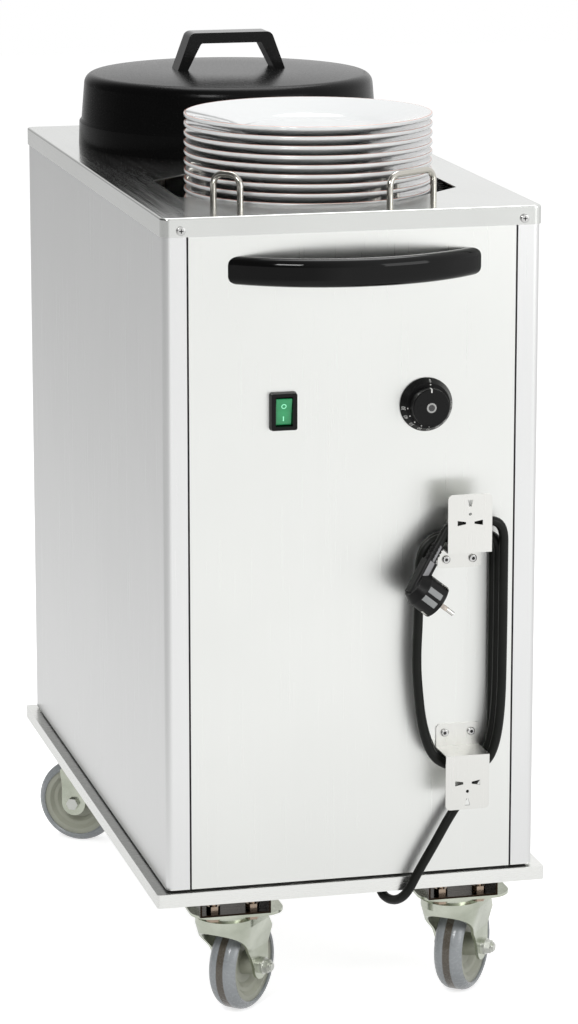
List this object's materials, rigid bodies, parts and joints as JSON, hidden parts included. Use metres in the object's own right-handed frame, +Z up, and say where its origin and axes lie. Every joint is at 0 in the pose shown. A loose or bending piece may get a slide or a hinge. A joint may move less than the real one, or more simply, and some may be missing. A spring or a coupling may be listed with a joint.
{
  "type": "heated plate dispenser trolley",
  "caption": "Heated plate dispenser trolley in brushed steel with sprung plate wells, a black lid, push handle, thermostat knob, lit rocker switch, wound mains cord and swivel castors",
  "frame": {"origin": "on the floor under the middle of the outline, which runs from the push handle to the mirror of its reach behind", "axes": "+Z up, -Y towards the operator's side with the push handle and controls, +X to the right of someone facing that side"},
  "size_m": [0.4194, 0.8204, 0.991],
  "materials": {
    "stainless": "satin",
    "stainless_top": "polished",
    "dark_seal": "matte",
    "screw_steel": "satin",
    "black_gloss": "gloss",
    "black_plastic": "satin",
    "black_textured": "satin",
    "green_rocker": "gloss",
    "bright_disc": "satin",
    "cord_black": "satin",
    "relief_grey": "satin",
    "pin_nickel": "polished",
    "heater_steel": "satin",
    "galvanised": "satin",
    "zinc": "satin",
    "rod_steel": "polished",
    "spring_steel": "satin",
    "porcelain": "gloss",
    "wheel_centre": "satin",
    "wheel_tyre": "satin",
    "terminal_white": "satin"
  },
  "bodies": {
    "trolley": {"base_tray": "stainless", "side_panel_left": "stainless", "side_panel_right": "stainless", "front_panel": "stainless", "rear_panel": "stainless", "top_cover": "stainless_top", "cover_screws": "screw_steel", "base_seal": "dark_seal", "push_handle": "black_gloss", "handle_screws": "screw_steel", "switch_bezel": "black_plastic", "thermostat": "galvanised", "cord_bracket_upper": "stainless", "cord_bracket_lower": "stainless", "bracket_screws": "screw_steel", "cable_gland": "black_plastic", "cord_lead": "cord_black", "cord_coil": "cord_black", "plug_body": "black_plastic", "plug_relief": "relief_grey", "plug_pins": "pin_nickel", "terminal_block": "terminal_white", "plate_guides_front": "rod_steel", "plate_guides_rear": "rod_steel", "guide_nuts": "screw_steel", "guide_rods_front": "rod_steel", "guide_rods_rear": "rod_steel", "heating_elements": "heater_steel", "heater_brackets": "galvanised", "castor_channels": "stainless", "castor_plates": "zinc", "castor_bolts": "zinc"},
    "lift_front": {"lift_platform_front": "galvanised", "lift_springs_front": "spring_steel"},
    "lift_rear": {"lift_platform_rear": "galvanised", "lift_springs_rear": "spring_steel"},
    "plate_stack": {"plates": "porcelain", "plate_top": "porcelain"},
    "lid_cover": {"lid": "black_textured", "lid_handle": "black_textured", "lid_screws": "screw_steel"},
    "knob": {"thermostat_knob": "black_plastic", "knob_disc": "bright_disc"},
    "rocker": {"switch_rocker": "green_rocker"},
    "castor_swivel_front_left": {"castor_fork_front_left": "zinc", "castor_axle_front_left": "zinc"},
    "castor_wheel_front_left": {"castor_rim_front_left": "wheel_centre", "castor_tyre_front_left": "wheel_tyre"},
    "castor_swivel_front_right": {"castor_fork_front_right": "zinc", "castor_axle_front_right": "zinc"},
    "castor_wheel_front_right": {"castor_rim_front_right": "wheel_centre", "castor_tyre_front_right": "wheel_tyre"},
    "castor_swivel_rear_left": {"castor_fork_rear_left": "zinc", "castor_axle_rear_left": "zinc"},
    "castor_wheel_rear_left": {"castor_rim_rear_left": "wheel_centre", "castor_tyre_rear_left": "wheel_tyre"},
    "castor_swivel_rear_right": {"castor_fork_rear_right": "zinc", "castor_axle_rear_right": "zinc"},
    "castor_wheel_rear_right": {"castor_rim_rear_right": "wheel_centre", "castor_tyre_rear_right": "wheel_tyre"}
  },
  "joints": [
    {"name": "front_lift", "type": "slide", "parent": "trolley", "child": "lift_front", "axis": [0, 0, 1], "range_m": [-0.455, 0.02], "stiffness_N_per_m": 724, "springref_m": 0.1581, "deforming": ["lift_springs_front"]},
    {"name": "rear_lift", "type": "slide", "parent": "trolley", "child": "lift_rear", "axis": [0, 0, 1], "range_m": [-0.475, 0], "stiffness_N_per_m": 724, "springref_m": 0.136, "deforming": ["lift_springs_rear"]},
    {"name": "plates_lift_off", "type": "slide", "parent": "lift_front", "child": "plate_stack", "axis": [0, 0, 1], "range_m": [0, 0.3]},
    {"name": "lid_lift_off", "type": "slide", "parent": "trolley", "child": "lid_cover", "axis": [0, 0, 1], "range_m": [0, 0.25]},
    {"name": "knob_turn", "type": "hinge", "parent": "trolley", "child": "knob", "pos_m": [0.077, -0.35315, 0.663], "axis": [0, 1, 0], "range_deg": [0, 300]},
    {"name": "rocker_press", "type": "hinge", "parent": "trolley", "child": "rocker", "pos_m": [-0.0743, -0.35315, 0.663], "axis": [-1, 0, 0], "range_deg": [0, 20]},
    {"name": "swivel_front_left", "type": "hinge", "parent": "trolley", "child": "castor_swivel_front_left", "pos_m": [-0.124, -0.30285, 0.118], "axis": [0, 0, 1], "continuous": true},
    {"name": "roll_front_left", "type": "hinge", "parent": "castor_swivel_front_left", "child": "castor_wheel_front_left", "pos_m": [-0.10125, -0.27758, 0.05], "axis": [-0.7431, 0.6691, 0], "continuous": true},
    {"name": "swivel_front_right", "type": "hinge", "parent": "trolley", "child": "castor_swivel_front_right", "pos_m": [0.124, -0.30285, 0.118], "axis": [0, 0, 1], "continuous": true},
    {"name": "roll_front_right", "type": "hinge", "parent": "castor_swivel_front_right", "child": "castor_wheel_front_right", "pos_m": [0.14446, -0.2757, 0.05], "axis": [-0.7986, 0.6018, 0], "continuous": true},
    {"name": "swivel_rear_left", "type": "hinge", "parent": "trolley", "child": "castor_swivel_rear_left", "pos_m": [-0.124, 0.33715, 0.118], "axis": [0, 0, 1], "continuous": true},
    {"name": "roll_rear_left", "type": "hinge", "parent": "castor_swivel_rear_left", "child": "castor_wheel_rear_left", "pos_m": [-0.15252, 0.35567, 0.05], "axis": [-0.5446, -0.8387, 0], "continuous": true},
    {"name": "swivel_rear_right", "type": "hinge", "parent": "trolley", "child": "castor_swivel_rear_right", "pos_m": [0.124, 0.33715, 0.118], "axis": [0, 0, 1], "continuous": true},
    {"name": "roll_rear_right", "type": "hinge", "parent": "castor_swivel_rear_right", "child": "castor_wheel_rear_right", "pos_m": [0.15151, 0.35713, 0.05], "axis": [-0.5878, 0.809, 0], "continuous": true}
  ]
}
